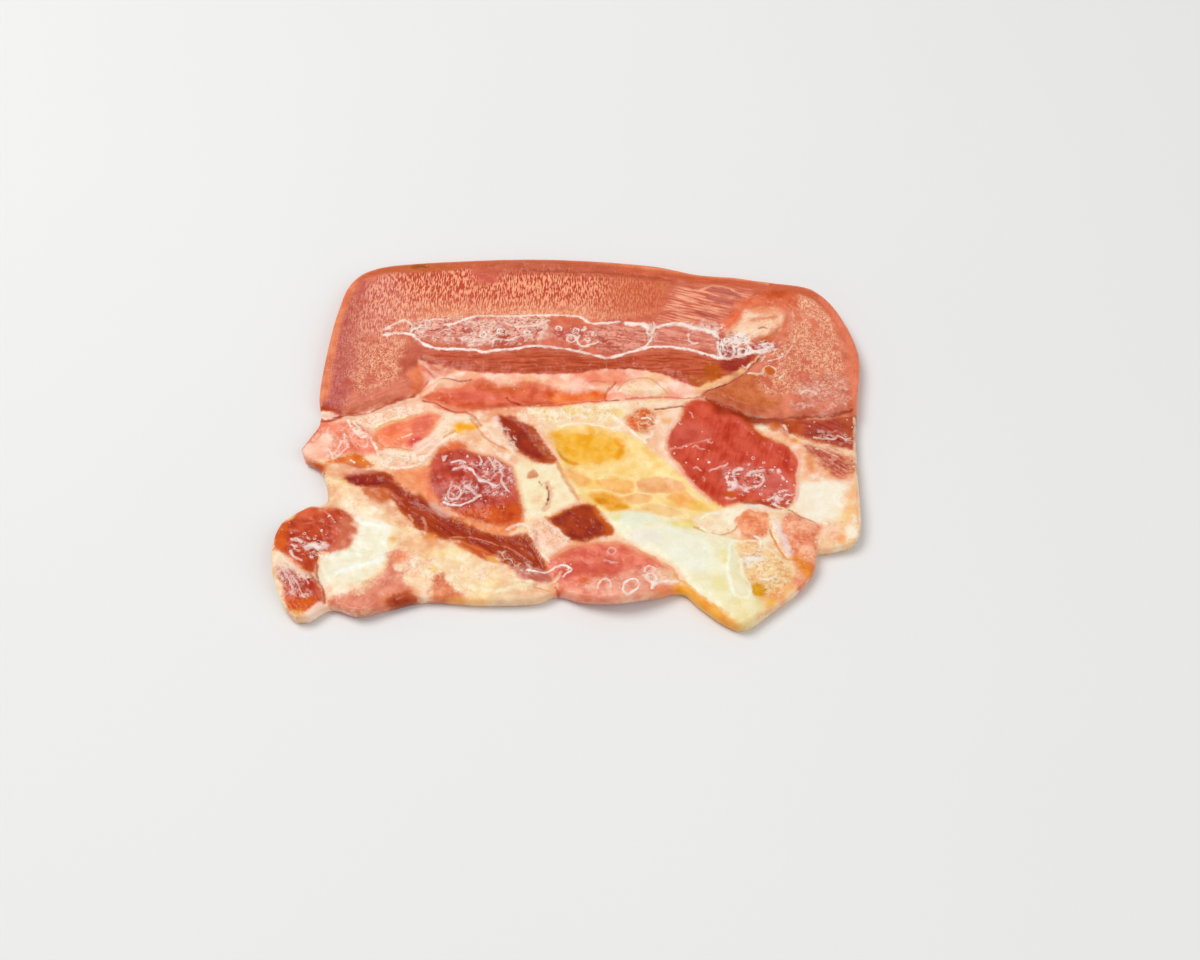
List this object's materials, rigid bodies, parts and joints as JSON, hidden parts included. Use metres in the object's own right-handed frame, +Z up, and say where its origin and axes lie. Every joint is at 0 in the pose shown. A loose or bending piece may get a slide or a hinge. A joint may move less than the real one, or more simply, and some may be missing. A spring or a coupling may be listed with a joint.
{
  "type": "raw pork tongue slice",
  "caption": "Thin raw slice of pork tongue with its root, cut lengthwise: a muscle band with a bent tip over fat, gland and cut muscle bundles, lying flat.",
  "frame": {"origin": "middle of the bounding box in plan, on the surface that the slice lies on", "axes": "+X along the tongue towards its bent tip, +Y towards the back of the tongue's muscle band, +Z up out of the cut face"},
  "size_m": [0.1602, 0.1261, 0.0069],
  "materials": {
    "raw_tongue": null
  },
  "bodies": {
    "root": {"tongue_slice": "raw_tongue"}
  },
  "joints": []
}
